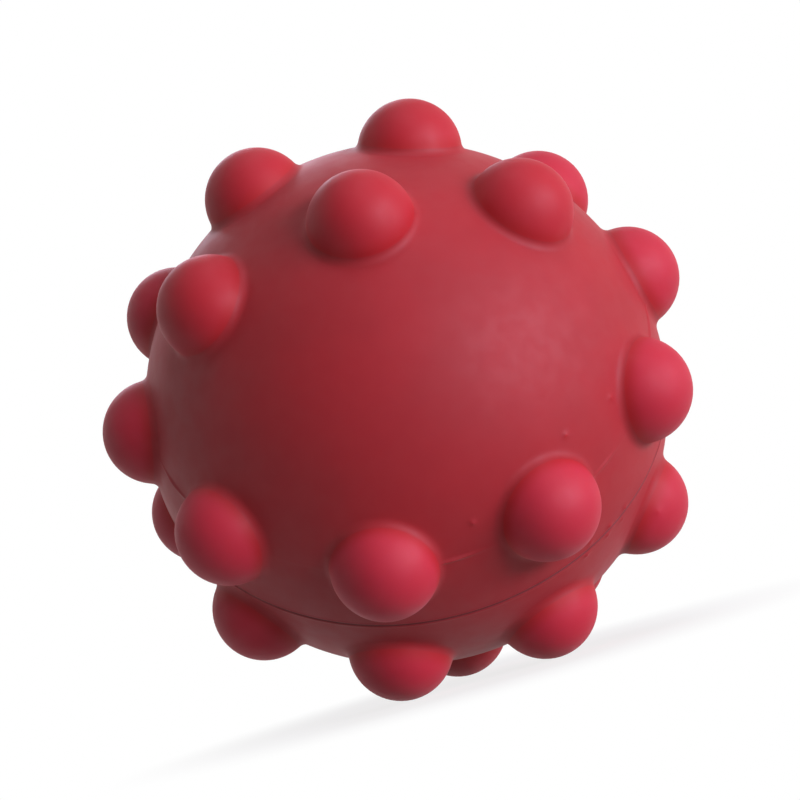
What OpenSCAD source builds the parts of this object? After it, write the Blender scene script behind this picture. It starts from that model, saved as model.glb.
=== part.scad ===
// Sensory ball: a hollow natural rubber ball with thirty round nubs, moulded as two
// half shells that are bonded along a seam, with a press-in reed whistle in a bare panel
// of the lower half. Lengths are in millimetres and angles in degrees.
//
// Shapes are drawn about the ball's centre with +Z through the pole of the seam, then
// the whole ball is turned and lifted so that it stands on three of its lower nubs.

/* [Ball] */
// Radius of the round body under the nubs
ball_r = 38; // [34:0.5:46]
// Thickness of the rubber wall
wall = 2.4; // [1.8:0.1:3]

/* [Nubs] */
// Radius of a nub's round crown
nub_r = 7.5; // [6.5:0.1:8]
// Radius of the soft curve where a nub runs into the body
nub_fillet_r = 2.5; // [1.5:0.1:3]
// How far the centre of an upper nub lies below the body's surface
upper_nub_sink = 1.1; // [0.5:0.1:2]
// How far the centre of a lower nub lies below the body's surface
lower_nub_sink = 1.6; // [0.5:0.1:2]

/* [Seam] */
// Depth of the fine groove that the seam leaves outside
seam_groove_depth = 0.3; // [0.1:0.05:0.6]
// Width of the fine groove at the surface
seam_groove_w = 0.5; // [0.2:0.05:0.8]
// How far the bonding rim stands in from the wall
seam_rim_t = 1.2; // [0.6:0.1:2]
// Height of the bonding rim on each half
seam_rim_h = 2; // [1:0.1:2.4]

/* [Whistle] */
// Diameter of the whistle's outer rim
rim_d = 19; // [17:0.5:22]
// Thickness of the outer rim at its edge
rim_t = 1.2; // [0.8:0.1:2]
// How far the rim's domed face stands proud of the ball
rim_proud = 0.2; // [0:0.05:0.6]
// Diameter of the neck that the rubber lip grips
neck_d = 14.6; // [13:0.2:16]
// Thickness of the rubber lip between rim and barb
lip_t = 3; // [2:0.1:4]
// Diameter of the thickened rubber collar round the port
collar_d = 22; // [20:0.5:24]
// Diameter of the barb behind the lip
barb_d = 17; // [16:0.5:18.5]
// Height of the barb's sloping lead-in
barb_h = 2; // [1.5:0.1:3]
// Height of the barb's straight shoulder
barb_land_h = 0.6; // [0.4:0.1:1]
// Diameter of the barrel's bore
barrel_bore_d = 11; // [10:0.1:11.5]
// Thickness of the barrel's front face at its centre
face_t = 2; // [1.4:0.1:2.4]
// Diameter of the hole that the sound leaves by
sound_hole_d = 2.6; // [1.5:0.1:3]

/* [Reed] */
// Outer diameter of the reed tube
tube_d = 5; // [4.4:0.1:5.6]
// Bore of the reed tube
tube_bore_d = 3.4; // [2.8:0.1:3.6]
// How far the tube runs on past the reed's tip
tube_tip_l = 0.5; // [0.3:0.1:1]
// How far the reed's tip laps over the closed end of the tube's bore
reed_lap_l = 0.3; // [0.2:0.1:0.6]
// Distance from the tube's axis to the flat that the reed lies over
flat_x = 1; // [0.8:0.05:1.2]
// Depth of the socket that holds the tube
socket_h = 3; // [2:0.1:3.5]
// Wall of the socket and of the clip
socket_wall = 0.9; // [0.7:0.1:1.1]
// Height of the clip that holds the reed's root
clip_h = 3; // [2:0.1:3.5]
// Width of the reed
reed_w = 3.2; // [2.6:0.1:3.6]
// Thickness of the reed
reed_t = 0.15; // [0.1:0.01:0.2]
// Free length of the reed below the clip
reed_free_l = 5.5; // [4:0.1:6.5]
// Length of the reed's root inside the clip
reed_root_l = 1; // [0.8:0.1:1.2]
// Angle at which the reed stands off its flat at rest
reed_lift = 4; // [3:0.5:5]

/* [Whistle cap] */
// Room between the reed tube's end and the cap's plate
cap_room = 1.5; // [1:0.1:3]
// Thickness of the cap's plate
cap_t = 1.4; // [1:0.1:2]
// Height of the spigot that fits in the barrel
cap_spigot_h = 2; // [1.5:0.1:3]
// Wall of the spigot
cap_spigot_wall = 1; // [0.8:0.1:1.4]
// Diameter of each air hole
cap_hole_d = 1.8; // [1:0.1:2.2]
// Distance from the spigot's inside to the edge of each air hole
cap_hole_inset = 0.4; // [0.2:0.1:0.8]
// Number of air holes
cap_holes = 5; // [3:1:6]

/* [Fits] */
// Clearance between plastic pieces pushed together
fit_gap = 0.05; // [0.02:0.01:0.1]
// Clearance on each side of the reed where it moves
reed_gap = 0.2; // [0.15:0.01:0.3]

/* [Hidden] */
$fn = 64;

// Overrun of every cut past the face it leaves by
over = 1;
// Depth by which a nub's soft curve bites into the body and the crown, so that they cross
bite = 0.05;

// Places of the nubs, as [latitude, longitude] on the ball with the seam as its equator.
// The long gap in each half's upper ring is the bare panel.
upper_nubs = [
    [86, 177],
    [53.5, 100.5], [49, 157], [47, 212], [52, 266],
    [16, 308], [17, 346.5], [18, 24.5], [16, 63], [14, 98],
    [14, 132], [15, 167], [15, 202], [13, 236], [13, 270]
];
// The three nubs that the ball stands on, left, right and rear
foot_nubs = [[-19, 344], [-19, 20], [-56, 357]];
lower_nubs = concat(foot_nubs, [
    [-17, 55], [-23, 96], [-19, 130], [-18, 165], [-18, 200], [-18, 235], [-21, 270], [-14, 310],
    [-55, 50], [-53, 103], [-53, 156],
    [-86, 77]
]);
// Place of the whistle, in the lower half's bare panel
whistle_place = [-56, 252];
// Turn about the vertical that brings the upper half's bare panel to the front
facing = -89;

function dir(place) = [
    cos(place[0]) * cos(place[1]),
    cos(place[0]) * sin(place[1]),
    sin(place[0])
];
function nub_centre(place, sink) = (ball_r - sink) * dir(place);
function unit(v) = v / norm(v);

// The plane under the three foot nubs gives the way down
foot_centres = [for (p = foot_nubs) nub_centre(p, lower_nub_sink)];
down = unit(cross(foot_centres[2] - foot_centres[0], foot_centres[1] - foot_centres[0]));
down_lon = atan2(down[1], down[0]);
down_tilt = acos(down[2]);
rest_h = down * foot_centres[0] + nub_r;

function spun(v, a) = [v[0] * cos(a) - v[1] * sin(a), v[0] * sin(a) + v[1] * cos(a), v[2]];
function tipped(v, a) = [v[0] * cos(a) + v[2] * sin(a), v[1], v[2] * cos(a) - v[0] * sin(a)];
function as_stood(v) = spun(tipped(spun(v, -down_lon), 180 - down_tilt), facing);

// How far the ball reaches along a row axis, to find the middle of its footprint
stood_centres = concat(
    [for (p = upper_nubs) as_stood(nub_centre(p, upper_nub_sink))],
    [for (p = lower_nubs) as_stood(nub_centre(p, lower_nub_sink))]
);
function reach(axis, way) = max(ball_r, max([for (c = stood_centres) way * c[axis]]) + nub_r);
middle = [for (axis = [0, 1]) (reach(axis, 1) - reach(axis, -1)) / 2];

// Heights along the whistle's own axis, from the ball's centre outwards
rim_edge_z = sqrt(pow(ball_r, 2) - pow(rim_d / 2, 2));
ledge_z = rim_edge_z - rim_t;
lip_z = ledge_z - lip_t;
face_z = ball_r - face_t;
socket_z = face_z - socket_h;
clip_z = socket_z - clip_h;
reed_tip_z = clip_z - reed_free_l;
tube_z = reed_tip_z - tube_tip_l;
barrel_z = tube_z - cap_room;
socket_d = tube_d + 2 * (fit_gap + socket_wall);
barrel_d = neck_d;

module stood() {
    translate([-middle[0], -middle[1], rest_h])
        rotate([0, 0, facing])
            rotate([0, 180 - down_tilt, 0])
                rotate([0, 0, -down_lon])
                    children();
}

module at_place(place) {
    rotate([0, 90 - place[0], place[1]]) children();
}

module half_space(side) {
    size = 4 * ball_r;
    translate([-size / 2, -size / 2, side > 0 ? 0 : -size]) cube(size);
}

// Section of a nub through its own axis: the crown and the soft curve at its foot
module nub_section(sink) {
    crown_z = ball_r - sink;
    body_reach = ball_r - bite + nub_fillet_r;
    crown_reach = nub_r - bite + nub_fillet_r;
    fillet_z = (pow(body_reach, 2) - pow(crown_reach, 2) + pow(crown_z, 2)) / (2 * crown_z);
    fillet_x = sqrt(pow(body_reach, 2) - pow(fillet_z, 2));
    on_crown_share = (nub_r - bite) / crown_reach;
    on_body_share = (ball_r - bite) / body_reach;
    on_crown = [fillet_x * on_crown_share, crown_z + (fillet_z - crown_z) * on_crown_share];
    on_body = [fillet_x * on_body_share, fillet_z * on_body_share];
    difference() {
        union() {
            intersection() {
                translate([0, crown_z]) circle(nub_r);
                translate([0, crown_z - nub_r]) square([nub_r, 2 * nub_r]);
            }
            polygon([
                [0, crown_z], on_crown, [fillet_x, fillet_z], on_body, [0, on_body[1] - wall / 2]
            ]);
        }
        translate([fillet_x, fillet_z]) circle(nub_fillet_r);
    }
}

module nubs(places, sink) {
    for (p = places) at_place(p) rotate_extrude() nub_section(sink);
}

module nub_hollows(places, sink) {
    for (p = places) at_place(p) translate([0, 0, ball_r - sink]) sphere(nub_r - wall);
}

// The thicker rim inside the seam, which gives the bond its width
module seam_rim() {
    rim_in = ball_r - wall - seam_rim_t;
    slope_z = seam_rim_h + seam_rim_t;
    rotate_extrude()
        polygon([
            [rim_in, -seam_rim_h], [rim_in, seam_rim_h], [ball_r - wall / 2, slope_z],
            [ball_r - wall / 2, -slope_z]
        ]);
}

module seam_groove() {
    half_w = seam_groove_w / 2 * (seam_groove_depth + over) / seam_groove_depth;
    rotate_extrude()
        polygon([
            [ball_r - seam_groove_depth, 0], [ball_r + over, half_w], [ball_r + over, -half_w]
        ]);
}

// One half of the ball, still without its port: side is 1 for the upper and -1 for the lower
module half_shell(places, sink, side) {
    difference() {
        intersection() {
            union() {
                sphere(ball_r);
                nubs(places, sink);
            }
            half_space(side);
        }
        difference() {
            union() {
                sphere(ball_r - wall);
                nub_hollows(places, sink);
            }
            seam_rim();
        }
        seam_groove();
    }
}

module upper_shell() {
    color("crimson") stood() half_shell(upper_nubs, upper_nub_sink, 1);
}

// The collar that thickens the wall behind the port
module port_collar() {
    intersection() {
        translate([0, 0, lip_z]) cylinder(h = ball_r, d = collar_d);
        sphere(ball_r - wall / 2);
    }
}

// What the whistle's port takes away: the seat of the rim and the hole through the lip
module port_cut() {
    translate([0, 0, ledge_z]) cylinder(h = ball_r, d = rim_d);
    translate([0, 0, lip_z - over]) cylinder(h = ball_r, d = neck_d);
}

module lower_shell() {
    color("crimson") stood() difference() {
        union() {
            half_shell(lower_nubs, lower_nub_sink, -1);
            at_place(whistle_place) port_collar();
        }
        at_place(whistle_place) port_cut();
    }
}

module in_port() {
    stood() at_place(whistle_place) children();
}

// The plastic barrel with its domed rim, the neck that the lip grips and the barb behind it
module whistle_body() {
    color("ivory") in_port() difference() {
        union() {
            rotate_extrude() intersection() {
                circle(ball_r + rim_proud);
                translate([0, ledge_z]) square([rim_d / 2, ball_r]);
            }
            translate([0, 0, barrel_z]) cylinder(h = ledge_z - barrel_z, d = barrel_d);
            translate([0, 0, lip_z - barb_land_h]) cylinder(h = barb_land_h, d = barb_d);
            translate([0, 0, lip_z - barb_land_h - barb_h])
                cylinder(h = barb_h, d1 = barrel_d, d2 = barb_d);
        }
        difference() {
            translate([0, 0, barrel_z - over])
                cylinder(h = face_z - barrel_z + over, d = barrel_bore_d);
            translate([0, 0, socket_z]) cylinder(h = socket_h + over, d = socket_d);
        }
        translate([0, 0, socket_z - over]) cylinder(h = socket_h + over, d = tube_d + 2 * fit_gap);
        translate([0, 0, socket_z]) cylinder(h = ball_r, d = sound_hole_d);
    }
}

// The pierced cap that closes the barrel inside the ball
module whistle_cap() {
    spigot_d = barrel_bore_d - 2 * fit_gap;
    spigot_in_d = spigot_d - 2 * cap_spigot_wall;
    hole_ring_r = spigot_in_d / 2 - cap_hole_inset - cap_hole_d / 2;
    color("ivory") in_port() difference() {
        union() {
            translate([0, 0, barrel_z - cap_t]) cylinder(h = cap_t, d = barrel_d);
            translate([0, 0, barrel_z]) difference() {
                cylinder(h = cap_spigot_h, d = spigot_d);
                cylinder(h = cap_spigot_h + over, d = spigot_in_d);
            }
        }
        for (i = [0 : cap_holes - 1])
            rotate([0, 0, 360 * i / cap_holes])
                translate([hole_ring_r, 0, barrel_z - cap_t - over])
                    cylinder(h = cap_t + 2 * over, d = cap_hole_d);
    }
}

// The tube that the reed closes: bored from its outer end and cut to a flat on one side
module reed_tube() {
    color("ivory") in_port() difference() {
        translate([0, 0, tube_z]) cylinder(h = face_z - tube_z, d = tube_d);
        translate([0, 0, reed_tip_z + reed_lap_l]) cylinder(h = ball_r, d = tube_bore_d);
        translate([flat_x, -tube_d / 2, tube_z - over])
            cube([tube_d, tube_d, socket_z - tube_z + over]);
    }
}

// The ring that is pushed over the tube and its flat, with the slot for the reed's root
module reed_clip() {
    slot_h = over + reed_root_l + reed_gap;
    slot_t = reed_t + 2 * reed_gap;
    color("ivory") in_port() difference() {
        translate([0, 0, clip_z]) cylinder(h = clip_h - fit_gap, d = socket_d);
        intersection() {
            translate([0, 0, clip_z - over]) cylinder(h = clip_h + 2 * over, d = tube_d + 2 * fit_gap);
            translate([-tube_d, -tube_d, clip_z - over])
                cube([tube_d + flat_x + fit_gap, 2 * tube_d, clip_h + 2 * over]);
        }
        translate([flat_x, -reed_w / 2 - reed_gap, clip_z - over])
            cube([slot_t, reed_w + 2 * reed_gap, slot_h]);
    }
}

// The thin metal tongue, standing a few degrees off the flat from its root in the clip
module reed() {
    color("goldenrod") in_port()
        translate([flat_x + reed_gap + reed_t / 2, 0, clip_z])
            rotate([0, -reed_lift, 0])
                translate([-reed_t / 2, -reed_w / 2, -reed_free_l])
                    cube([reed_t, reed_w, reed_free_l + reed_root_l]);
}

upper_shell();
lower_shell();
whistle_body();
whistle_cap();
reed_tube();
reed_clip();
reed();
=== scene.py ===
"""Looks of a red rubber sensory ball: two half shells with round nubs, bonded along a seam,
and a press-in reed whistle in the bare panel of the lower half.

Sizes are in millimetres and degrees. Points are worked out about the ball's centre, with +Z
through the pole of the seam, and turned into the row frame, in metres, when a mesh is made.
"""

import logging
import math
from dataclasses import dataclass
from enum import Enum
from functools import partial
from typing import Callable, Sequence

import bpy
import numpy as np
from mathutils import Matrix, Vector


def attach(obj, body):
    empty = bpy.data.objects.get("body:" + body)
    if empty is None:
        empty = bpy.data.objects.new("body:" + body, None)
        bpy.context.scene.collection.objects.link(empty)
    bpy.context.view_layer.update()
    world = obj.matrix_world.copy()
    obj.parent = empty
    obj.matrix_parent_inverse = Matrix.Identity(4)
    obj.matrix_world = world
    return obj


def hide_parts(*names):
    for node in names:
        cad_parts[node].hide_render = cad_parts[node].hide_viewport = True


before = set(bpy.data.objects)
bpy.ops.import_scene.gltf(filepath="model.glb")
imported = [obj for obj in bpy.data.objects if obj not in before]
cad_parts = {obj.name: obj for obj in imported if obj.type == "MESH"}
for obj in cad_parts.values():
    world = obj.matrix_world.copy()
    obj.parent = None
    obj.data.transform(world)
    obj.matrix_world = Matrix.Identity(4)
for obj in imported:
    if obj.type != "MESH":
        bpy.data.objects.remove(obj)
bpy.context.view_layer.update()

log = logging.getLogger("sensory_ball")

MM = 0.001
# An angle, in radians, below which a direction counts as lying on an axis.
TINY = 1e-6

Array = np.ndarray
Material = bpy.types.Material
Node = bpy.types.Node
Object = bpy.types.Object
Socket = bpy.types.NodeSocket


class Slot(Enum):
    """The record's material slots."""

    RUBBER = "rubber"
    PLASTIC = "whistle_plastic"
    BRASS = "reed_brass"


class Half(Enum):
    """The two half mouldings, by the side of the seam that they lie on."""

    UPPER = 1
    LOWER = -1


def smooth(x: Array, low: float, high: float) -> Array:
    """Rises softly from 0 at low to 1 at high."""
    t = np.clip((x - low) / (high - low), 0.0, 1.0)
    return t * t * (3.0 - 2.0 * t)


def add(name: str, data: bpy.types.ID) -> Object:
    """Puts a new object with the given data into the scene."""
    made = bpy.data.objects.new(name, data)
    bpy.context.scene.collection.objects.link(made)
    return made


def on_ball(lat: Array | float, lon: Array | float) -> Array:
    """Unit vectors of latitudes and longitudes in degrees, in the last axis."""
    a, o = np.radians(lat), np.radians(lon)
    return np.stack([np.cos(a) * np.cos(o), np.cos(a) * np.sin(o), np.sin(a)], axis=-1)


def unit(v: Array) -> Array:
    """Vectors scaled to length one along the last axis."""
    return v / np.linalg.norm(v, axis=-1, keepdims=True)


def latitude(ways: Array) -> Array:
    """Latitudes of unit directions, in degrees."""
    return np.degrees(np.arcsin(np.clip(ways[..., 2], -1, 1)))


def angle_from(axis: Array, ways: Array) -> Array:
    """Angles of unit directions from an axis, in radians."""
    return np.arccos(np.clip(ways @ axis, -1, 1))


def bent(
    ways: Array, axis: Array, reach: float, new_angle: Callable[[Array], Array], calm: float
) -> tuple[Array, Array]:
    """Bends directions towards an axis or away from it, but not at the seam.

    Args:
        ways: unit directions.
        axis: unit vector that they bend about.
        reach: angle from the axis within which they bend, in radians.
        new_angle: gives the new angles from the axis for the old ones, in radians.
        calm: distance from the seam at which they bend in full, in degrees.

    Returns:
        Which directions lie within reach, and where those go.
    """
    angle = angle_from(axis, ways)
    near = (angle < reach) & (angle > TINY)
    a = angle[near]
    side = unit(ways[near] - np.cos(a)[:, None] * axis)
    b = a + (new_angle(a) - a) * smooth(np.abs(latitude(ways[near])), 0.0, calm)
    return near, np.cos(b)[:, None] * axis + np.sin(b)[:, None] * side


def rounded(ends: Sequence, shares: Sequence[float]) -> Array:
    """Points of a curve that rounds off a corner.

    Args:
        ends: where the curve starts, the corner, and where the curve ends.
        shares: how far along the curve the points lie, from 0 to 1.

    Returns:
        The points, one in a row.
    """
    start, corner, end = np.array(ends, float)
    t = np.array(shares, float)[:, None]
    return (1 - t) ** 2 * start + 2 * t * (1 - t) * corner + t**2 * end


@dataclass(frozen=True)
class NubPlaces:
    """Latitude and longitude of each nub's axis, with the seam as the equator.

    The ball stands on the feet, which belong to the lower half.
    """

    upper: tuple = (
        (86, 177),
        (53.5, 100.5), (49, 157), (47, 212), (52, 266),
        (16, 308), (17, 346.5), (18, 24.5), (16, 63), (14, 98),
        (14, 132), (15, 167), (15, 202), (13, 236), (13, 270),
    )  # fmt: skip
    feet: tuple = ((-19, 344), (-19, 20), (-56, 357))
    lower: tuple = (
        (-17, 55), (-23, 96), (-19, 130), (-18, 165), (-18, 200), (-18, 235), (-21, 270),
        (-14, 310), (-55, 50), (-53, 103), (-53, 156), (-86, 77),
    )  # fmt: skip

    def of(self, half: Half) -> Array:
        """Unit axes of one half's nubs."""
        table = self.upper if half is Half.UPPER else self.feet + self.lower
        lat, lon = np.array(table, float).T
        return on_ball(lat, lon)


@dataclass(frozen=True)
class BallSizes:
    """Sizes of the moulded rubber, as in the part's source.

    The nubs' feet are tighter here and the seam's groove is shallower, as the photograph
    shows. The lip beside the groove is only here.
    """

    ball_r: float = 38.0
    wall: float = 2.4
    nub_r: float = 7.5
    fillet_r: float = 1.4
    upper_sink: float = 1.1
    lower_sink: float = 1.6
    groove_depth: float = 0.22
    groove_w: float = 0.5
    lip_far: float = 0.14
    lip_half_w: float = 0.13
    lip_h: float = 0.05
    rim_t: float = 1.2
    rim_h: float = 2.0
    facing: float = -89.0
    whistle_lat: float = -56.0
    whistle_lon: float = 252.0

    def sink(self, half: Half) -> float:
        """How far a nub's centre lies below the surface of the body."""
        return self.upper_sink if half is Half.UPPER else self.lower_sink

    def port_ways(self, columns: int) -> tuple[Array, Array]:
        """The whistle port's axis, and so many ways out from it, the first to the seam."""
        port = on_ball(self.whistle_lat, self.whistle_lon)
        up = unit(np.array([0.0, 0.0, 1.0]) - port[2] * port)
        turn = np.arange(columns)[:, None] * 2 * math.pi / columns
        return port, np.cos(turn) * up + np.sin(turn) * np.cross(port, up)

    def port_rings(self, columns: int, outline: Sequence[Sequence[float]]) -> Array:
        """Rings about the axis of the whistle's port.

        Args:
            columns: number of points in a ring.
            outline: radius of each ring and its height along the axis, in mm.

        Returns:
            Points in mm about the ball's centre, a ring in each row.
        """
        port, out = self.port_ways(columns)
        return np.stack([r * out + z * port for r, z in outline])


class Stance:
    """Turns the ball as it stands on its three foot nubs, and centres its footprint."""

    def __init__(self, sizes: BallSizes, places: NubPlaces) -> None:
        """Works out the turn and the lift.

        Args:
            sizes: sizes of the ball.
            places: places of its nubs.
        """
        centres = {
            half: places.of(half) * (sizes.ball_r - sizes.sink(half)) for half in Half
        }
        left, right, rear = centres[Half.LOWER][:3]
        down = unit(np.cross(rear - left, right - left))
        tilt = math.pi - math.acos(down[2])
        turns = (
            Matrix.Rotation(math.radians(sizes.facing), 3, "Z")
            @ Matrix.Rotation(tilt, 3, "Y")
            @ Matrix.Rotation(-math.atan2(down[1], down[0]), 3, "Z")
        )
        self.turn = np.array(turns)
        stood = np.vstack(list(centres.values())) @ self.turn.T
        high = np.maximum(sizes.ball_r, stood.max(0) + sizes.nub_r)
        low = np.maximum(sizes.ball_r, sizes.nub_r - stood.min(0))
        lift = float(down @ left) + sizes.nub_r
        self.centre = np.array([-(high[0] - low[0]) / 2, -(high[1] - low[1]) / 2, lift])

    def place(self, points: Array) -> Array:
        """Points about the ball's centre, in mm, as row frame points in metres."""
        return (points @ self.turn.T + self.centre) * MM

    def heading(self, direction: Sequence[float]) -> Vector:
        """A direction about the ball's centre, turned into the row frame."""
        return Vector(self.turn @ np.array(direction, float)).normalized()


class MeshMaker:
    """Collects rings and grids of points and joins them into one closed mesh."""

    def __init__(self) -> None:
        """Starts with no points and no faces."""
        self._points: list[Array] = []
        self._faces: list[tuple] = []
        self._count = 0

    def points(self, block: Array) -> Array:
        """Adds points and gives their numbers, in the shape of the block.

        Args:
            block: points with x, y and z in the last axis.

        Returns:
            The numbers of the points.
        """
        flat = np.asarray(block, float).reshape(-1, 3)
        numbers = np.arange(self._count, self._count + len(flat))
        self._points.append(flat)
        self._count += len(flat)
        return numbers.reshape(np.asarray(block).shape[:-1])

    def rings(self, rows: Array, flip: bool = False) -> None:
        """Joins closed rings, one row after the other, with quads.

        Args:
            rows: numbers of the points, a ring in each row.
            flip: turns the faces over.
        """
        self.grid(np.hstack([rows, rows[:, :1]]), flip)

    def grid(self, rows: Array, flip: bool = False) -> None:
        """Joins an open grid of points with quads.

        Args:
            rows: numbers of the points in rows and columns.
            flip: turns the faces over.
        """
        quads = np.stack(
            [rows[:-1, :-1], rows[1:, :-1], rows[1:, 1:], rows[:-1, 1:]], axis=-1
        ).reshape(-1, 4)
        self._add(quads, flip)

    def halving(self, fine: Array, coarse: Array, flip: bool = False) -> None:
        """Joins a ring to one with half as many points.

        Args:
            fine: numbers of the finer ring's points.
            coarse: numbers of the coarser ring's points.
            flip: turns the faces over.
        """
        a, b, c = fine[0::2], fine[1::2], np.roll(fine, -2)[0::2]
        d, e = coarse, np.roll(coarse, -1)
        triangles = np.concatenate(
            [np.stack(t, axis=-1) for t in ((a, d, b), (b, d, e), (b, e, c))]
        )
        self._add(triangles, flip)

    def piece(self, name: str, stance: Stance, sharp: float = 50.0) -> Object:
        """Makes the object, smooth but for its sharp corners.

        Args:
            name: name of the piece.
            stance: how the ball stands.
            sharp: angle between faces, in degrees, above which an edge stays sharp.

        Returns:
            The object, linked to the scene.
        """
        mesh = bpy.data.meshes.new(name)
        points = stance.place(np.vstack(self._points))
        mesh.from_pydata(points.tolist(), [], self._faces)
        mesh.validate()
        mesh.shade_smooth()
        mesh.set_sharp_from_angle(angle=math.radians(sharp))
        return add(name, mesh)

    def _add(self, faces: Array, flip: bool) -> None:
        """Keeps faces, turned over where asked."""
        self._faces += (faces[:, ::-1] if flip else faces).tolist()


@dataclass(frozen=True)
class NubSection:
    """Section through a nub's axis: its crown, the soft curve at its foot and the body.

    The points of the mesh lie fine_foot times as close together on the soft curve.
    """

    body_r: float
    crown_r: float
    fillet_r: float
    crown_z: float
    fine_foot: float = 2.0

    def _fillet_centre(self) -> tuple[float, float]:
        """Distance of the soft curve's centre from the axis, and its height."""
        far, near = self.body_r + self.fillet_r, self.crown_r + self.fillet_r
        z = (far**2 - near**2 + self.crown_z**2) / (2 * self.crown_z)
        return math.sqrt(far**2 - z**2), z

    def crown_end(self) -> float:
        """Angle at the ball's centre where the crown ends, in radians."""
        x, z = self._fillet_centre()
        share = self.crown_r / (self.crown_r + self.fillet_r)
        return math.atan2(x * share, self.crown_z + (z - self.crown_z) * share)

    def foot_end(self) -> float:
        """Angle at the ball's centre where the soft curve ends, in radians."""
        x, z = self._fillet_centre()
        return math.atan2(x, z)

    def distance(self, angle: Array) -> Array:
        """Distance of the surface from the ball's centre.

        Args:
            angle: angles from the nub's axis, in radians.

        Returns:
            Distances in mm.
        """
        x, z = self._fillet_centre()
        sin, cos = np.sin(angle), np.cos(angle)
        crown = self.crown_z * cos + np.sqrt(
            np.maximum(self.crown_r**2 - (self.crown_z * sin) ** 2, 0.0)
        )
        along = x * sin + z * cos
        curve = along - np.sqrt(
            np.maximum(self.fillet_r**2 - x**2 - z**2 + along**2, 0.0)
        )
        low = np.where(angle < self.foot_end(), curve, self.body_r)
        return np.where(angle < self.crown_end(), crown, low)

    def spread(self, angle: Array, limit: float) -> Array:
        """Moves even angles so that points lie evenly along the section.

        Args:
            angle: angles from the nub's axis, in radians, below limit.
            limit: angle at which nothing moves any more.

        Returns:
            The moved angles.
        """
        x, z = self._fillet_centre()
        turn_crown = math.atan2(x, z - self.crown_z)
        turn_curve = turn_crown - math.atan2(x, z)
        crown_l = self.crown_r * turn_crown
        curve_r = self.fillet_r * self.fine_foot
        curve_l = curve_r * turn_curve
        body_l = self.body_r * (limit - self.foot_end())
        s = angle / limit * (crown_l + curve_l + body_l)
        on_crown = np.minimum(s, crown_l) / self.crown_r
        crown = np.arctan2(
            self.crown_r * np.sin(on_crown),
            self.crown_z + self.crown_r * np.cos(on_crown),
        )
        back = turn_crown - np.clip((s - crown_l) / curve_r, 0.0, turn_curve)
        curve = np.arctan2(
            x - self.fillet_r * np.sin(back), z - self.fillet_r * np.cos(back)
        )
        body = self.foot_end() + (s - crown_l - curve_l) / self.body_r
        low = np.where(s < crown_l + curve_l, curve, body)
        return np.where(s < crown_l, crown, low)


@dataclass(frozen=True)
class Pip:
    """A small raised pimple that the mould left on the rubber.

    The mesh is drawn together round it, within reach in degrees, by the power pull.
    """

    lat: float
    lon: float
    height: float = 0.16
    half_w: float = 0.3
    reach: float = 2.0
    pull: float = 1.8

    def axis(self) -> Array:
        """Unit vector through the pimple."""
        return on_ball(self.lat, self.lon)

    def drawn(self, angle: Array) -> Array:
        """New angles from the pimple for old ones, in radians."""
        reach = math.radians(self.reach)
        return reach * (angle / reach) ** self.pull


@dataclass(frozen=True)
class Flash:
    """The fine raised line that the mould left round the upper half.

    Each of the strong stretches has a middle longitude, a half width in degrees and a share
    of the full height.
    """

    lat: float = 17.0
    height: float = 0.3
    half_w: float = 0.26
    faint_share: float = 0.06
    strong: tuple = (
        (1.0, 5.0, 1.2), (41.0, 4.0, 0.5), (-18.0, 3.0, 0.8), (80.0, 6.0, 0.8),
        (-70.0, 5.0, 0.9), (150.0, 8.0, 1.0), (220.0, 7.0, 0.9),
    )  # fmt: skip

    def rise(self, lon: Array, across: Array) -> Array:
        """Height of the line above the body.

        Args:
            lon: longitudes, in degrees.
            across: distances from the middle of the line, in mm.

        Returns:
            Heights in mm.
        """
        strength = np.full(lon.shape, self.faint_share)
        for centre, width, share in self.strong:
            away = (lon - centre + 180.0) % 360.0 - 180.0
            strength = np.maximum(strength, share * np.exp(-((away / width) ** 2)))
        return self.height * strength * np.exp(-((across / self.half_w) ** 2))


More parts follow.
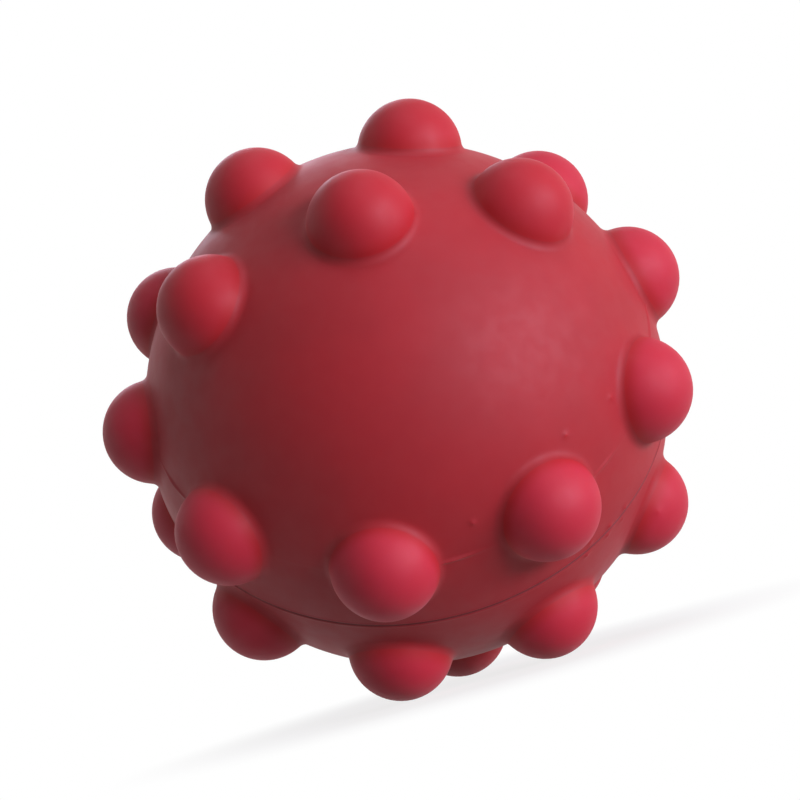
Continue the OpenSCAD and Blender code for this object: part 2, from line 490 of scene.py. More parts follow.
@dataclass
class HalfShell:
    """What the two half shells share: how their outer and inner surfaces run.

    Within spread_reach of a nub's axis the mesh is spread over the nub. It is moved less
    within seam_calm and pip_calm of the seam. Each of the waves has a direction, a phase
    and a share. The seam's rows are given by their distance from it, in degrees.
    """

    sizes: BallSizes
    places: NubPlaces
    half: Half
    pips: tuple = ()
    flash: Flash | None = None
    columns: int = 512
    spread_reach: float = 14.6
    seam_calm: float = 4.0
    pip_calm: float = 1.5
    wave: float = 0.05
    waves: tuple = (
        (6.1, 2.3, -3.7, 0.4, 1.0), (-3.2, 7.4, 4.1, 2.1, 1.0),
        (4.4, -5.2, 8.3, 4.0, 1.0), (13.0, 9.0, -11.0, 1.3, 0.6),
    )  # fmt: skip
    seam_rows: tuple = (
        4.0, 3.4, 2.8, 2.2, 1.7, 1.3, 1.0, 0.78,
        0.6, 0.47, 0.38, 0.3, 0.22, 0.14, 0.07, 0.0,
    )  # fmt: skip

    def inner_seam_rows(self) -> tuple:
        """Every third of the seam's rows, which are enough for the inner surface."""
        return self.seam_rows[::3]

    def section(self, inset: float) -> NubSection:
        """The section of a nub, of the outer surface or of one that lies inset below it."""
        return NubSection(
            self.sizes.ball_r - inset,
            self.sizes.nub_r - inset,
            self.sizes.fillet_r + inset,
            self.sizes.ball_r - self.sizes.sink(self.half),
        )

    def _spread(self, ways: Array, section: NubSection) -> Array:
        """Moves directions so that they lie evenly over the nubs.

        Args:
            ways: unit directions.
            section: the nubs' section.

        Returns:
            The moved directions.
        """
        reach = math.radians(self.spread_reach)
        even = partial(section.spread, limit=reach)
        moved = ways.copy()
        for axis in self.places.of(self.half):
            near, there = bent(ways, axis, reach, even, self.seam_calm)
            moved[near] = there
        return moved

    def _gather(self, ways: Array, pip: Pip) -> Array:
        """Draws directions together round a pimple."""
        reach = math.radians(pip.reach)
        near, there = bent(ways, pip.axis(), reach, pip.drawn, self.pip_calm)
        moved = ways.copy()
        moved[near] = there
        return moved

    def _surface(self, ways: Array, section: NubSection) -> tuple[Array, Array]:
        """Finds the surface of the body and its nubs.

        Args:
            ways: unit directions.
            section: the nubs' section.

        Returns:
            The surface's distance, and the angle to the next nub.
        """
        height = np.full(ways.shape[:-1], section.body_r)
        nearest = np.full(ways.shape[:-1], math.pi)
        for axis in self.places.of(self.half):
            angle = angle_from(axis, ways)
            nearest = np.minimum(nearest, angle)
            height = np.maximum(height, section.distance(angle))
        return height, nearest

    def _pip_rise(self, points: Array, pip: Pip, section: NubSection) -> Array:
        """How a pimple moves points of the outer surface.

        Args:
            points: points of the surface, in mm.
            pip: the pimple.
            section: the nubs' section.

        Returns:
            The moves in mm, square to the surface at the pimple.
        """
        height, nearest = self._surface(pip.axis()[None, :], section)
        spot = pip.axis() * height[0]
        out = pip.axis()
        if nearest[0] < section.crown_end():
            nubs = self.places.of(self.half)
            out = unit(spot - nubs[np.argmax(nubs @ pip.axis())] * section.crown_z)
        away = np.linalg.norm(points - spot, axis=-1)
        dome = np.exp(-((away / pip.half_w) ** 2))
        return pip.height * dome[..., None] * out

    def _hollows(self, ways: Array) -> Array:
        """Gentle hollows of the hand-finished rubber, from 0 to twice the wave's height."""
        total = sum(
            share * np.sin(ways @ np.array(way) + at) for *way, at, share in self.waves
        )
        return self.wave * (1.0 + total / sum(share for *_, share in self.waves))

    def outer(self, ways: Array) -> Array:
        """Points of the outer surface.

        Args:
            ways: unit directions from the ball's centre.

        Returns:
            Points in mm about the ball's centre.
        """
        sizes, section = self.sizes, self.section(0.0)
        ways = self._spread(ways, section)
        for pip in self.pips:
            ways = self._gather(ways, pip)
        height, nearest = self._surface(ways, section)
        height = height - self._hollows(ways)
        if self.flash is not None:
            lon = np.degrees(np.arctan2(ways[..., 1], ways[..., 0]))
            across = np.radians(latitude(ways) - self.flash.lat) * sizes.ball_r
            beside = smooth(nearest, section.crown_end(), section.foot_end())
            height = height + self.flash.rise(lon, across) * beside
        across, half_w = np.abs(ways[..., 2]) * height, sizes.groove_w / 2
        cut = np.clip(1.0 - across / half_w, 0.0, 1.0)
        lip = np.exp(-(((across - half_w - sizes.lip_far) / sizes.lip_half_w) ** 2))
        height = height - sizes.groove_depth * cut + sizes.lip_h * lip
        points = ways * height[..., None]
        for pip in self.pips:
            points = points + self._pip_rise(points, pip, section) * (1.0 - cut[..., None])
        return points

    def inner(self, ways: Array) -> Array:
        """Points of the inner surface, with the bonding rim along the seam.

        Args:
            ways: unit directions from the ball's centre.

        Returns:
            Points in mm about the ball's centre.
        """
        sizes, section = self.sizes, self.section(self.sizes.wall)
        ways = self._spread(ways, section)
        height, _ = self._surface(ways, section)
        slope = (sizes.rim_h + sizes.rim_t - np.abs(ways[..., 2]) * height) / sizes.rim_t
        rim = sizes.ball_r - sizes.wall - sizes.rim_t * np.clip(slope, 0.0, 1.0)
        height = np.where(slope > 0.0, np.minimum(height, rim), height)
        return ways * height[..., None]


@dataclass
class UpperShell(HalfShell):
    """The upper half shell: a square grid bent over its pole, then rows along the seam.

    Steps are between rows, in degrees. Within line_zone of the raised line the outer
    surface has line_rows rows in the place of one.
    """

    cap_lat: float = 60.0
    outer_step: float = 0.6
    inner_step: float = 1.4
    line_zone: float = 1.0
    line_rows: int = 3

    def _rings(self, step: float) -> list[float]:
        """Latitudes of the rows between the polar cap and the rows at the seam."""
        rows: list[float] = []
        lat = self.cap_lat - step
        while lat > self.seam_rows[0] + step / 2:
            rows.append(lat)
            at_line = self.flash is not None and abs(lat - self.flash.lat) < self.line_zone
            fine = at_line and step == self.outer_step
            lat -= step / self.line_rows if fine else step
        return rows

    def _cap(self, rings: int) -> Array:
        """Directions of a square grid bent into a disc round the pole."""
        a = np.arange(-rings, rings + 1, dtype=float)
        x, y = np.meshgrid(a, a, indexing="ij")
        wide = np.abs(x) >= np.abs(y)
        safe_x, safe_y = np.where(x == 0, 1.0, x), np.where(y == 0, 1.0, y)
        turn = np.where(wide, y / safe_x, 2 - x / safe_y) * math.pi / 4
        far = np.where(wide, x, y)
        lon = np.degrees(np.arctan2(far * np.sin(turn), far * np.cos(turn)))
        lat = 90.0 - (90.0 - self.cap_lat) * np.abs(far) / rings
        return on_ball(lat, lon)

    def _edge(self, rings: int) -> Array:
        """Row and column numbers round the cap's edge, from longitude zero eastwards."""
        along = np.abs(np.arange(8 * rings) - 4 * rings) - 2 * rings
        row = np.clip(along, -rings, rings) + rings
        return np.stack([row, np.roll(row, 2 * rings)], axis=-1)

    def build(self, stance: Stance) -> Object:
        """Makes the shell.

        Args:
            stance: how the ball stands.

        Returns:
            The shell's object.
        """
        maker = MeshMaker()
        seams = []
        for surface, columns, step, seam_rows, flip in (
            (self.outer, self.columns, self.outer_step, self.seam_rows, False),
            (self.inner, self.columns // 2, self.inner_step, self.inner_seam_rows(), True),
        ):
            # A square grid has eight points on its edge for each of its rings.
            rings = columns // 8
            cap = maker.points(surface(self._cap(rings)))
            maker.grid(cap, flip=flip)
            lats = np.array(self._rings(step) + list(seam_rows))
            lons = np.arange(columns) * 360.0 / columns
            band = on_ball(*np.meshgrid(lats, lons, indexing="ij"))
            edge = self._edge(rings)
            first = cap[edge[:, 0], edge[:, 1]]
            rows = np.vstack([first[None, :], maker.points(surface(band))])
            maker.rings(rows, flip=flip)
            seams.append(rows[-1])
        maker.halving(seams[0], seams[1])
        return maker.piece("upper_half", stance)


@dataclass(frozen=True)
class WhistleSizes:
    """Sizes of the whistle's body, as in the part's source."""

    rim_d: float = 19.0
    rim_t: float = 1.2
    rim_proud: float = 0.2
    neck_d: float = 14.6
    lip_t: float = 3.0
    barb_d: float = 17.0
    barb_h: float = 2.0
    barb_land_h: float = 0.6
    bore_d: float = 11.0
    face_t: float = 2.0
    sound_hole_d: float = 2.6
    socket_d: float = 6.9
    tube_d: float = 5.0
    socket_h: float = 3.0
    fit_gap: float = 0.05
    barrel_l: float = 15.5


@dataclass
class LowerShell(HalfShell):
    """The lower half shell, whose rows run round the whistle's port and out to the seam."""

    whistle: WhistleSizes = WhistleSizes()
    collar_d: float = 22.0
    soft_edge: float = 0.4
    edge_steps: int = 5
    seat_foot: float = 0.02
    outer_rows: int = 160
    inner_rows: int = 70

    def _fan(
        self, columns: int, rows: int, first: float, seam_rows: Sequence[float]
    ) -> Array:
        """Directions of rows from the port out to the seam.

        Args:
            columns: number of points in a row.
            rows: number of rows before those at the seam.
            first: angle of the first row from the port's axis, in radians.
            seam_rows: distances of the last rows from the seam, in degrees.

        Returns:
            Directions in rows and columns.
        """
        port, out = self.sizes.port_ways(columns)
        at_seam = np.arctan2(-port[2], out[:, 2])
        tall = np.hypot(port[2], out[:, 2])
        near = [at_seam - np.arcsin(math.sin(math.radians(d)) / tall) for d in seam_rows]
        share = np.linspace(0.0, 1.0, rows + 1)[:-1, None]
        even = first + share * (near[0][None, :] - first)
        angle = np.vstack([even, np.array(near)])[..., None]
        ways = np.cos(angle) * port + np.sin(angle) * out
        ways[-1, :, 2] = 0.0
        return unit(ways)

    def _port_outline(self) -> list[Sequence[float]]:
        """Outline of the port, from the edge of its seat in to its collar.

        Returns:
            Radius and height along the port's axis, in mm.
        """
        ball_r, soft = self.sizes.ball_r, self.soft_edge
        seat_r, neck_r = self.whistle.rim_d / 2, self.whistle.neck_d / 2
        collar_r = self.collar_d / 2
        top_z = math.sqrt(ball_r**2 - (seat_r + soft) ** 2)
        edge_z = math.sqrt(ball_r**2 - seat_r**2)
        ledge_z = edge_z - self.whistle.rim_t
        lip_z = ledge_z - self.whistle.lip_t
        shares = np.arange(1, self.edge_steps + 1) / self.edge_steps
        ends = ((seat_r + soft, top_z), (seat_r, edge_z), (seat_r, edge_z - soft))
        edge = rounded(ends, shares)
        edge[:, 1] -= self.wave * (1 - shares)
        return [
            *edge,
            (seat_r, ledge_z + self.seat_foot),
            (neck_r + soft / 2, ledge_z),
            (neck_r, ledge_z - soft / 2),
            (neck_r, lip_z + soft / 2),
            (neck_r + soft / 2, lip_z),
            (collar_r - soft / 2, lip_z),
            (collar_r, lip_z + soft / 2),
        ]

    def build(self, stance: Stance) -> Object:
        """Makes the shell.

        Args:
            stance: how the ball stands.

        Returns:
            The shell's object.
        """
        maker = MeshMaker()
        first = math.asin((self.whistle.rim_d / 2 + self.soft_edge) / self.sizes.ball_r)
        ways = self._fan(self.columns, self.outer_rows, first, self.seam_rows)
        outer = maker.points(self.outer(ways))
        maker.rings(outer, flip=True)
        port = maker.points(self.sizes.port_rings(self.columns, self._port_outline()))
        maker.rings(np.vstack([outer[:1], port]))
        first = math.asin(self.collar_d / 2 / (self.sizes.ball_r - self.sizes.wall))
        ways = self._fan(self.columns // 2, self.inner_rows, first, self.inner_seam_rows())
        inner = maker.points(self.inner(ways))
        maker.rings(inner)
        maker.halving(port[-1], inner[0])
        maker.halving(outer[-1], inner[-1], flip=True)
        return maker.piece("lower_half", stance)


@dataclass
class Whistle:
    """The body of the press-in whistle. The pieces inside it keep their own meshes.

    Its corners are softened over edge mm, or over edge_limit of a shorter side.
    """

    ball: BallSizes
    sizes: WhistleSizes = WhistleSizes()
    segments: int = 128
    edge: float = 0.25
    edge_limit: float = 0.45
    edge_steps: int = 4
    dome_rows: int = 18
    sharp: float = 40.0

    def _corner(self, before: tuple, at: tuple, after: tuple) -> Array:
        """Points of a softened corner of an outline.

        Args:
            before: the outline's point before the corner.
            at: the corner.
            after: the outline's point after the corner.

        Returns:
            The points that take the corner's place.
        """
        a, b, c = (np.array(p, float) for p in (before, at, after))
        soft = min(self.edge, *(np.linalg.norm(p - b) * self.edge_limit for p in (a, c)))
        ends = (b + unit(a - b) * soft, b, b + unit(c - b) * soft)
        return rounded(ends, np.linspace(0.0, 1.0, self.edge_steps + 1))

    def _outline(self) -> list[Sequence[float]]:
        """Closed outline of the body, as radius and height along the whistle's axis."""
        s, ball_r = self.sizes, self.ball.ball_r
        rim_r, neck_r, barb_r = s.rim_d / 2 - s.fit_gap, s.neck_d / 2, s.barb_d / 2
        face_r = ball_r + s.rim_proud
        ledge = math.sqrt(ball_r**2 - (s.rim_d / 2) ** 2) - s.rim_t
        lip = ledge - s.lip_t
        face = ball_r - s.face_t
        barrel = lip - s.barrel_l
        hole_r, seat_r = s.sound_hole_d / 2, s.tube_d / 2 + s.fit_gap
        dome = [
            (r, math.sqrt(face_r**2 - r**2))
            for r in np.linspace(hole_r + self.edge, rim_r - self.edge, self.dome_rows)
        ]
        corners = [
            (rim_r, math.sqrt(face_r**2 - rim_r**2)), (rim_r, ledge), (neck_r, ledge),
            (neck_r, lip), (barb_r, lip), (barb_r, lip - s.barb_land_h),
            (neck_r, lip - s.barb_land_h - s.barb_h), (neck_r, barrel),
            (s.bore_d / 2, barrel), (s.bore_d / 2, face), (s.socket_d / 2, face),
            (s.socket_d / 2, face - s.socket_h), (seat_r, face - s.socket_h),
            (seat_r, face), (hole_r, face), (hole_r, math.sqrt(face_r**2 - hole_r**2)),
        ]  # fmt: skip
        ring = [dome[-1], *corners, dome[0]]
        soft = [
            p for i in range(1, len(ring) - 1) for p in self._corner(*ring[i - 1 : i + 2])
        ]
        return dome[1:-1] + soft

    def build(self, stance: Stance) -> Object:
        """Makes the whistle's body.

        Args:
            stance: how the ball stands.

        Returns:
            The body's object.
        """
        maker = MeshMaker()
        rows = maker.points(self.ball.port_rings(self.segments, self._outline()))
        maker.rings(np.vstack([rows, rows[:1]]))
        return maker.piece("whistle_front", stance, sharp=self.sharp)


@dataclass(frozen=True)
class Grain:
    """A noise pattern: features a metre, its detail, and the span of its values in use."""

    scale: float
    detail: float
    span: tuple = (0.3, 0.7)


class Board:
    """The node tree of a material or a world, with short ways to add and join nodes."""

    def __init__(self, owner: Material | bpy.types.World) -> None:
        """Empties the owner's node tree."""
        self.owner = owner
        owner.use_nodes = True
        self.tree = owner.node_tree
        self.tree.nodes.clear()

    def node(self, kind: str, **values: object) -> Node:
        """Adds a node.

        Args:
            kind: the node's type name, without its ShaderNode prefix.
            values: its own properties; those that name no property set an input.

        Returns:
            The node.
        """
        made = self.tree.nodes.new("ShaderNode" + kind)
        for key, value in values.items():
            if hasattr(made, key):
                setattr(made, key, value)
            else:
                made.inputs[key.replace("_", " ")].default_value = value
        return made

    def join(self, start: Socket, end: Socket) -> None:
        """Links an output to an input."""
        self.tree.links.new(start, end)

    def show(self, shader: Node) -> None:
        """Makes a shader the surface of the owner."""
        world = isinstance(self.owner, bpy.types.World)
        out = self.node("OutputWorld" if world else "OutputMaterial")
        self.join(shader.outputs[0], out.inputs["Surface"])

    def cover(self, skin: Node, **inputs: Socket) -> Material:
        """Joins outputs to the inputs of a shader, and makes it the owner's surface."""
        for key, output in inputs.items():
            self.join(output, skin.inputs[key.replace("_", " ")])
        self.show(skin)
        return self.owner

    def mix(self, share: Socket, first: Node, second: Node) -> Node:
        """Mixes two shaders by a share of the second."""
        made = self.node("MixShader")
        for number, output in enumerate((share, first.outputs[0], second.outputs[0])):
            self.join(output, made.inputs[number])
        return made

    def calc(self, operation: str, *values: Socket) -> Socket:
        """The result of a Math node's operation on the values."""
        made = self.node("Math", operation=operation)
        for number, value in enumerate(values):
            self.join(value, made.inputs[number])
        return made.outputs[0]

    def blend(
        self, share: Socket, low: Sequence[float] | Socket, high: Sequence[float]
    ) -> Socket:
        """Mixes two colours by a share.

        Args:
            share: output that gives the share of the second colour.
            low: the first colour, or the output that gives it.
            high: the second colour.

        Returns:
            The mixed colour's output.
        """
        made = self.node("Mix", data_type="RGBA")
        self.join(share, made.inputs[0])
        first, second = made.inputs[6], made.inputs[7]
        if isinstance(low, Socket):
            self.join(low, first)
        else:
            first.default_value = (*low, 1.0)
        second.default_value = (*high, 1.0)
        return made.outputs[2]

    def range(
        self, value: Socket, span: Sequence[float], onto: Sequence[float] = (0.0, 1.0)
    ) -> Socket:
        """Maps a span of values onto another, softly, and stops at its ends.

        Args:
            value: output to map.
            span: lowest and highest value.
            onto: results at the lowest and at the highest value.

        Returns:
            The mapped value's output.
        """
        ramp = self.node("MapRange", interpolation_type="SMOOTHSTEP")
        names = ("From Min", "From Max", "To Min", "To Max")
        for name, number in zip(names, (*span, *onto)):
            ramp.inputs[name].default_value = number
        self.join(value, ramp.inputs["Value"])
        return ramp.outputs["Result"]

    def noise(self, where: Socket, grain: Grain) -> Socket:
        """Noise about a half over the given points."""
        made = self.node("TexNoise", Scale=grain.scale, Detail=grain.detail)
        self.join(where, made.inputs["Vector"])
        return made.outputs["Fac"]

    def patches(
        self, where: Socket, grain: Grain, onto: Sequence[float] = (0.0, 1.0)
    ) -> Socket:
        """Noise over the given points that runs from end to end of a span."""
        return self.range(self.noise(where, grain), grain.span, onto)

    def bumps(self, where: Socket, grain: Grain, strength: float, depth: float) -> Socket:
        """Fine bumps from a noise pattern.

        Args:
            where: output that gives the points.
            grain: the pattern.
            strength: how much of the bumps shows, from 0 to 1.
            depth: their depth, in metres.

        Returns:
            The normal's output.
        """
        made = self.node("Bump", Strength=strength, Distance=depth)
        self.join(self.noise(where, grain), made.inputs["Height"])
        return made.outputs["Normal"]


@dataclass(frozen=True)
class RubberFinish:
    """Red natural rubber: matt and faintly waxy, with painted light on its nubs and seam.

    The nubs' paler crown colour is painted light that brightens their shaded sides; it
    fades on the upper nubs, which the lamps light more. The deeper red at the nubs' feet is
    painted shade and red light bounced in the crease round each nub. The darker colour in
    the seam's groove is painted shade. The zones of the painted foot and crown colours are
    heights above the body, in mm. The zone over which the crowns' painted light fades is a
    distance from the seam's plane, in mm. The groove's painted shade zone is a share of the
    groove's width.
    """

    body: tuple = (0.49, 0.012, 0.021)
    blotch: tuple = (0.45, 0.011, 0.019)
    # Painted light: a deeper red at the nubs' feet stands in for shade and red light
    # bounced in the crease round each nub.
    foot: tuple = (0.53, 0.005, 0.012)
    # Painted light: a paler crown brightens the nubs' shaded sides, less on the upper nubs
    # that the lamps light.
    crown: tuple = (0.64, 0.017, 0.045)
    # Painted shade: a dark colour in the seam's groove.
    groove: tuple = (0.2, 0.007, 0.011)
    painted_foot_light_zone: tuple = (0.6, 0.9)
    painted_crown_light_zone: tuple = (0.6, 2.8)
    painted_light_fade_zone: tuple = (16.0, 36.0)
    painted_groove_shade_zone: tuple = (0.3, 0.62)
    top_painted_light_share: float = 0.3
    blotches: Grain = Grain(75.0, 3.0, (0.35, 0.68))
    specular: float = 0.46
    rough: tuple = (0.59, 0.65)
    rough_grain: Grain = Grain(420.0, 4.0)
    sheen: float = 0.05
    sheen_rough: float = 0.45
    sheen_tint: tuple = (1.0, 0.72, 0.78, 1.0)
    under_skin: float = 0.5
    under_radius: tuple = (1.0, 0.22, 0.16)
    under_reach: float = 0.003
    skin_grain: Grain = Grain(1500.0, 5.0)
    skin_share: float = 0.03
    skin_depth: float = 0.0002

    def make(self, ball: BallSizes, stance: Stance) -> Material:
        """Makes the material.

        Args:
            ball: sizes that the colour zones follow.
            stance: how the ball stands.

        Returns:
            The material.
        """
        board = Board(bpy.data.materials.new("red_rubber"))
        where = board.node("TexCoord").outputs["Object"]
        away = board.node("VectorMath", operation="SUBTRACT")
        away.inputs[1].default_value = tuple(stance.centre * MM)
        board.join(where, away.inputs[0])
        far = board.node("VectorMath", operation="LENGTH")
        board.join(away.outputs[0], far.inputs[0])
        above = board.node("VectorMath", operation="DOT_PRODUCT")
        above.inputs[1].default_value = stance.heading((0, 0, 1))
        board.join(away.outputs[0], above.inputs[0])
        off_seam = board.calc("ABSOLUTE", above.outputs["Value"])

        def beyond(zone: tuple) -> Socket:
            """Share that rises from 0 to 1 over a zone above the body."""
            span = [(ball.ball_r + height) * MM for height in zone]
            return board.range(far.outputs["Value"], span)

        colour = board.blend(board.patches(where, self.blotches), self.body, self.blotch)
        # Painted shade and bounced red light at the nubs' feet.
        colour = board.blend(beyond(self.painted_foot_light_zone), colour, self.foot)
        # Painted light on the nubs' crowns, fading towards the top of the ball.
        span = [distance * MM for distance in self.painted_light_fade_zone]
        painted_light_fade = board.range(off_seam, span, (1.0, self.top_painted_light_share))
        painted_nub_light = board.calc("MULTIPLY", beyond(self.painted_crown_light_zone), painted_light_fade)
        colour = board.blend(painted_nub_light, colour, self.crown)
        # Painted shade in the seam's groove.
        span = [share * ball.groove_w * MM for share in self.painted_groove_shade_zone]
        painted_groove_shade = board.range(off_seam, span, (1.0, 0.0))
        colour = board.blend(painted_groove_shade, colour, self.groove)
        skin = board.node(
            "BsdfPrincipled",
            Specular_IOR_Level=self.specular,
            Sheen_Weight=self.sheen,
            Sheen_Roughness=self.sheen_rough,
            Sheen_Tint=self.sheen_tint,
            Subsurface_Weight=self.under_skin,
            Subsurface_Radius=self.under_radius,
            Subsurface_Scale=self.under_reach,
        )
        rough = board.patches(where, self.rough_grain, self.rough)
        bumps = board.bumps(where, self.skin_grain, self.skin_share, self.skin_depth)
        return board.cover(skin, Base_Color=colour, Roughness=rough, Normal=bumps)


@dataclass(frozen=True)
class PlasticFinish:
    """Moulded off-white polypropylene, milky and softly glossy."""

    base: tuple = (0.72, 0.66, 0.54)
    cloud: tuple = (0.62, 0.56, 0.44)
    clouds: Grain = Grain(160.0, 3.0)
    rough: tuple = (0.32, 0.46)
    rough_grain: Grain = Grain(900.0, 3.0)
    under_skin: float = 0.15
    under_radius: tuple = (1.0, 0.9, 0.7)
    under_reach: float = 0.001
    skin_grain: Grain = Grain(2400.0, 3.0)
    skin_share: float = 0.04
    skin_depth: float = 0.0001

    def make(self) -> Material:
        """Makes the material.

        Returns:
            The material.
        """
        board = Board(bpy.data.materials.new("milky_plastic"))
        where = board.node("TexCoord").outputs["Object"]
        skin = board.node(
            "BsdfPrincipled",
            Subsurface_Weight=self.under_skin,
            Subsurface_Radius=self.under_radius,
            Subsurface_Scale=self.under_reach,
        )
        colour = board.blend(board.patches(where, self.clouds), self.base, self.cloud)
        rough = board.patches(where, self.rough_grain, self.rough)
        bumps = board.bumps(where, self.skin_grain, self.skin_share, self.skin_depth)
        return board.cover(skin, Base_Color=colour, Roughness=rough, Normal=bumps)


@dataclass(frozen=True)
class BrassFinish:
    """Rolled brass strip, faintly streaked along its length."""

    bright: tuple = (0.80, 0.58, 0.26)
    dull: tuple = (0.52, 0.35, 0.14)
    stretch: tuple = (1.0, 1.0, 0.15)
    tarnish: Grain = Grain(3000.0, 3.0, (0.35, 0.75))
    rough: tuple = (0.24, 0.4)
    rough_grain: Grain = Grain(3000.0, 3.0)

    def make(self) -> Material:
        """Makes the material.

        Returns:
            The material.
        """
        board = Board(bpy.data.materials.new("reed_brass"))
        stretched = board.node("Mapping", Scale=self.stretch)
        board.join(board.node("TexCoord").outputs["Object"], stretched.inputs["Vector"])
        where = stretched.outputs[0]
        skin = board.node("BsdfPrincipled", Metallic=1.0)
        colour = board.blend(board.patches(where, self.tarnish), self.bright, self.dull)
        rough = board.patches(where, self.rough_grain, self.rough)
        return board.cover(skin, Base_Color=colour, Roughness=rough)


@dataclass(frozen=True)
class Lamp:
    """A soft lamp, in metres and watts, by where it stands from the ball in the picture."""

    name: str
    right: float
    up: float
    near: float
    wide: float
    high: float
    level: float
    tint: tuple = (1.0, 0.98, 1.2)


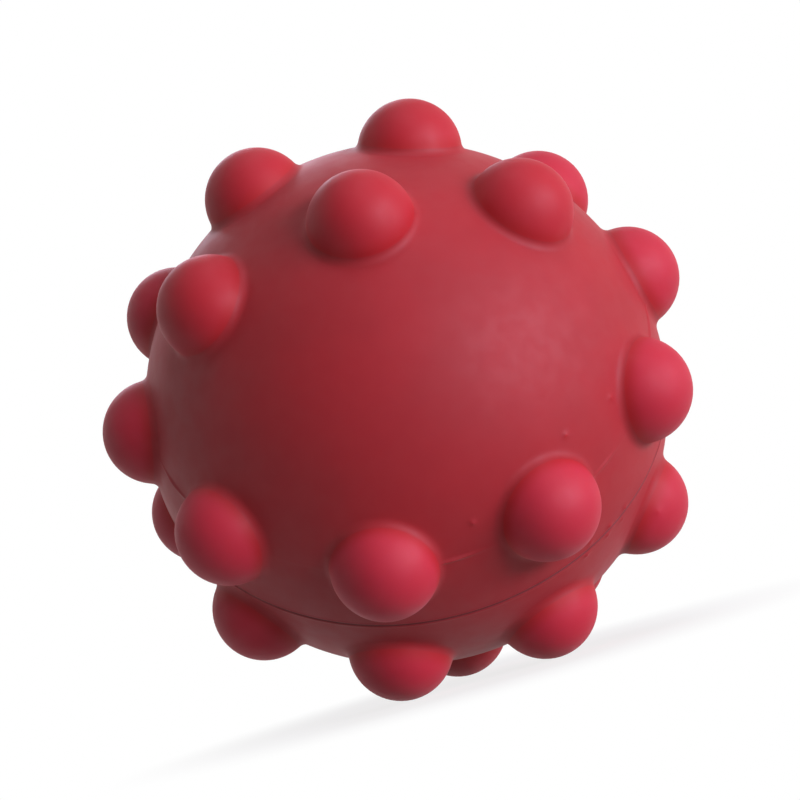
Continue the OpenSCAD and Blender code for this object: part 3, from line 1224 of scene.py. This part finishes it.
@dataclass
class Studio:
    """The pale floor, the soft lamps, the white surround and the camera.

    The camera's latitude and lean are in degrees, and camera_far, the lens and the sensor
    in mm. The floor and the zone in which the ball's shade fades out are in metres.
    """

    stance: Stance
    camera_lat: float = 51.8
    camera_far: float = 342.0
    lean: float = 14.56
    lens: float = 105.29
    sensor: float = 36.0
    shift_x: float = -0.00825
    shift_y: float = 0.004
    clip: tuple = (0.01, 20.0)
    surround: float = 0.04
    floor_reach: float = 3.0
    floor_bounce: float = 0.3
    floor_pale: float = 0.9
    floor_shade: float = 0.2
    shade_zone: tuple = (0.02, 0.06)
    lamps: tuple = (
        Lamp("key", 0.98, 0.56, 0.8, 1.2, 0.46, 17.4),
        Lamp("top", -0.05, 1.06, 0.28, 0.4, 0.4, 1.8),
        Lamp("behind", -0.35, 0.55, -1.1, 0.5, 0.5, 3.6),
    )

    def _picture_axes(self) -> tuple[Vector, Vector, Vector]:
        """The picture's right and up, and the way back to the camera, in the row frame."""
        lat = math.radians(self.camera_lat)
        back = self.stance.heading((math.cos(lat), 0.0, math.sin(lat)))
        pole = self.stance.heading((0.0, 0.0, 1.0))
        pole = (pole - back * pole.dot(back)).normalized()
        across = pole.cross(back)
        lean = math.radians(self.lean)
        right = across * math.cos(lean) - pole * math.sin(lean)
        up = across * math.sin(lean) + pole * math.cos(lean)
        return right, up, back

    def camera(self) -> None:
        """Makes the camera, where the photograph was taken from."""
        right, up, back = self._picture_axes()
        data = bpy.data.cameras.new("camera")
        data.lens, data.sensor_width = self.lens, self.sensor
        data.shift_x, data.shift_y = self.shift_x, self.shift_y
        data.clip_start, data.clip_end = self.clip
        place = Vector(self.stance.centre * MM) + back * self.camera_far * MM
        turn = Matrix((right, up, back)).transposed().to_4x4()
        made = add("camera", data)
        made.matrix_world = Matrix.Translation(place) @ turn
        bpy.context.scene.camera = made

    def light(self) -> None:
        """Makes the soft lamps."""
        right, up, back = self._picture_axes()
        centre = Vector(self.stance.centre * MM)
        for lamp in self.lamps:
            data = bpy.data.lights.new(lamp.name, "AREA")
            data.shape, data.energy = "RECTANGLE", lamp.level
            data.size, data.size_y = lamp.wide, lamp.high
            data.color = lamp.tint
            made = add(lamp.name, data)
            away = right * lamp.right + up * lamp.up + back * lamp.near
            made.location = centre + away
            made.rotation_mode = "QUATERNION"
            made.rotation_quaternion = (-away).to_track_quat("-Z", "Y")

    def _shown_share(self, board: Board) -> Socket:
        """One for rays from the camera, in reflections and through glass, and else zero."""
        path = board.node("LightPath")
        rays = ("Is Camera Ray", "Is Glossy Ray", "Is Transmission Ray")
        first, second, third = (path.outputs[ray] for ray in rays)
        return board.calc("MAXIMUM", board.calc("MAXIMUM", first, second), third)

    def surroundings(self) -> None:
        """Makes the white surround, which lights the ball more softly than it shows."""
        board = Board(bpy.data.worlds.new("surround"))
        white = (1.0, 1.0, 1.0, 1.0)
        lit = board.node("Background", Color=white, Strength=self.surround)
        shown = board.node("Background", Color=white, Strength=1.0)
        board.show(board.mix(self._shown_share(board), lit, shown))
        # The white here and on the floor isn't sampled as a lamp, and so shows in full in
        # the rubber's rough gloss.
        board.owner.cycles.sampling_method = "NONE"
        bpy.context.scene.world = board.owner

    def floor(self) -> Object:
        """Makes the pale floor, which keeps the ball's soft shadow.

        Returns:
            The floor's object.
        """
        mesh = bpy.data.meshes.new("floor")
        signs = ((-1, -1), (1, -1), (1, 1), (-1, 1))
        corners = [(x * self.floor_reach, y * self.floor_reach, 0) for x, y in signs]
        mesh.from_pydata(corners, [], [(0, 1, 2, 3)])
        made = add("floor", mesh)
        board = Board(bpy.data.materials.new("pale_floor"))
        dim = board.node("BsdfDiffuse", Color=(*(self.floor_bounce,) * 3, 1.0))
        pale = board.node("BsdfDiffuse", Color=(*(self.floor_pale,) * 3, 1.0))
        white = board.node("Emission", Strength=1.0)
        far = board.node("VectorMath", operation="LENGTH")
        board.join(board.node("TexCoord").outputs["Object"], far.inputs[0])
        shade = (self.floor_shade, 0.0)
        by_ball = board.range(far.outputs["Value"], self.shade_zone, shade)
        shown = board.mix(by_ball, white, pale)
        board.show(board.mix(self._shown_share(board), dim, shown))
        board.owner.cycles.emission_sampling = "NONE"
        mesh.materials.append(board.owner)
        return made


def settle(piece: Object, material: Material, body: str, node: str) -> None:
    """Dresses a piece and puts it in the place of its CAD node.

    Args:
        piece: the piece.
        material: its finish.
        body: the CAD body that it rides on.
        node: the CAD node that it stands for.
    """
    piece.data.materials.append(material)
    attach(piece, body)
    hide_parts(node)
    log.info("%s: %d faces, rides on %s", piece.name, len(piece.data.polygons), body)


def dress(node: str, material: Material) -> None:
    """Gives a CAD node that stays as it is a better material."""
    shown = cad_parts[node]
    for place in shown.material_slots:
        place.material = material
    log.info("%s: dressed in %s", node, material.name)


def main() -> None:
    """Builds the ball, its whistle and the studio, in that order."""
    logging.basicConfig(level=logging.INFO, format="%(message)s")
    bpy.context.scene.view_settings.view_transform = "Standard"
    sizes, places = BallSizes(), NubPlaces()
    stance = Stance(sizes, places)
    rubber = RubberFinish().make(sizes, stance)
    plastic = PlasticFinish().make()
    brass = BrassFinish().make()

    upper = UpperShell(
        sizes, places, Half.UPPER,
        pips=(Pip(24.0, 7.5, 0.26), Pip(29.6, 36.0, 0.3), Pip(26.2, 51.9, 0.2),
              Pip(1.5, 31.1), Pip(1.1, 37.0, 0.26), Pip(1.2, 42.3, 0.28)),
        flash=Flash(),
    )  # fmt: skip
    settle(upper.build(stance), rubber, "ball", "upper_shell")
    lower = LowerShell(
        sizes, places, Half.LOWER,
        pips=(Pip(-8.7, 50.2, 0.2, 0.36), Pip(-1.2, 36.0, 0.2), Pip(-1.3, 29.6, 0.24),
              Pip(-1.5, 41.0)),
    )  # fmt: skip
    settle(lower.build(stance), rubber, "ball", "lower_shell")

    whistle = Whistle(sizes)
    settle(whistle.build(stance), plastic, "ball", "whistle_body")
    for node in ("whistle_cap", "reed_tube", "reed_clip"):
        dress(node, plastic)
    dress("reed", brass)

    studio = Studio(stance)
    studio.camera()
    studio.light()
    studio.surroundings()
    studio.floor()


if __name__ == "__main__":
    main()
